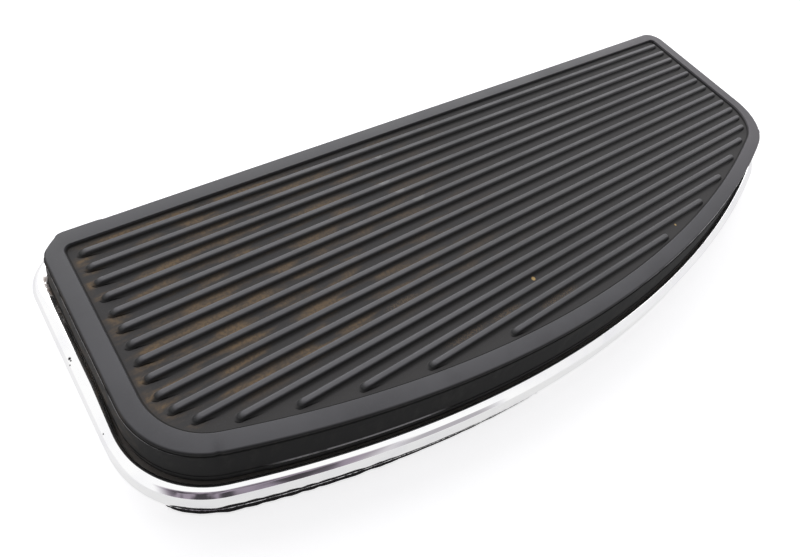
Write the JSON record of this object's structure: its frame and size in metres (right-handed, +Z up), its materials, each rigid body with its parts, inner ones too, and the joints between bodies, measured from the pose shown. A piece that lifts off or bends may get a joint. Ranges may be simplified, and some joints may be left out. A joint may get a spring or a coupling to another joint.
{
  "type": "motorcycle floorboard",
  "caption": "D-shaped rider floorboard: ribbed rubber tread pad on rubber isolators over a chrome plated steel pan with a rolled rim, bolted on from below.",
  "frame": {"origin": "bottom centre of the board's box, on the surface that its rim rests on", "axes": "+X along the ribs, +Y towards the straight back edge, +Z up out of the tread"},
  "size_m": [0.3164, 0.123, 0.026],
  "materials": {
    "tread_rubber": "matt black moulded rubber, dusty",
    "chrome_plate": "bright chrome plate, a few rust pits",
    "plate_steel": "bare rolled steel",
    "isolator_rubber": "smooth black rubber",
    "zinc_steel": "zinc plated",
    "black_steel": "black paint",
    "rivet_steel": "plain steel"
  },
  "bodies": {
    "root": {"tread_pad": "tread_rubber", "chrome_pan": "chrome_plate", "backing_plate": "plate_steel", "isolator_front_left": "isolator_rubber", "spacer_sleeve_front_left": "zinc_steel", "plate_stud_front_left": "zinc_steel", "washer_front_left": "zinc_steel", "lock_nut_front_left": "zinc_steel", "isolator_back_left": "isolator_rubber", "spacer_sleeve_back_left": "zinc_steel", "plate_stud_back_left": "zinc_steel", "washer_back_left": "zinc_steel", "lock_nut_back_left": "zinc_steel", "isolator_front_right": "isolator_rubber", "spacer_sleeve_front_right": "zinc_steel", "plate_stud_front_right": "zinc_steel", "washer_front_right": "zinc_steel", "lock_nut_front_right": "zinc_steel", "isolator_back_right": "isolator_rubber", "spacer_sleeve_back_right": "zinc_steel", "plate_stud_back_right": "zinc_steel", "washer_back_right": "zinc_steel", "lock_nut_back_right": "zinc_steel", "mounting_plate_left": "black_steel", "weld_nut_front_left": "plate_steel", "rivet_front_outer_left": "rivet_steel", "rivet_front_inner_left": "rivet_steel", "weld_nut_back_left": "plate_steel", "rivet_back_outer_left": "rivet_steel", "rivet_back_inner_left": "rivet_steel", "mounting_plate_right": "black_steel", "weld_nut_front_right": "plate_steel", "rivet_front_outer_right": "rivet_steel", "rivet_front_inner_right": "rivet_steel", "weld_nut_back_right": "plate_steel", "rivet_back_outer_right": "rivet_steel", "rivet_back_inner_right": "rivet_steel"}
  },
  "joints": []
}
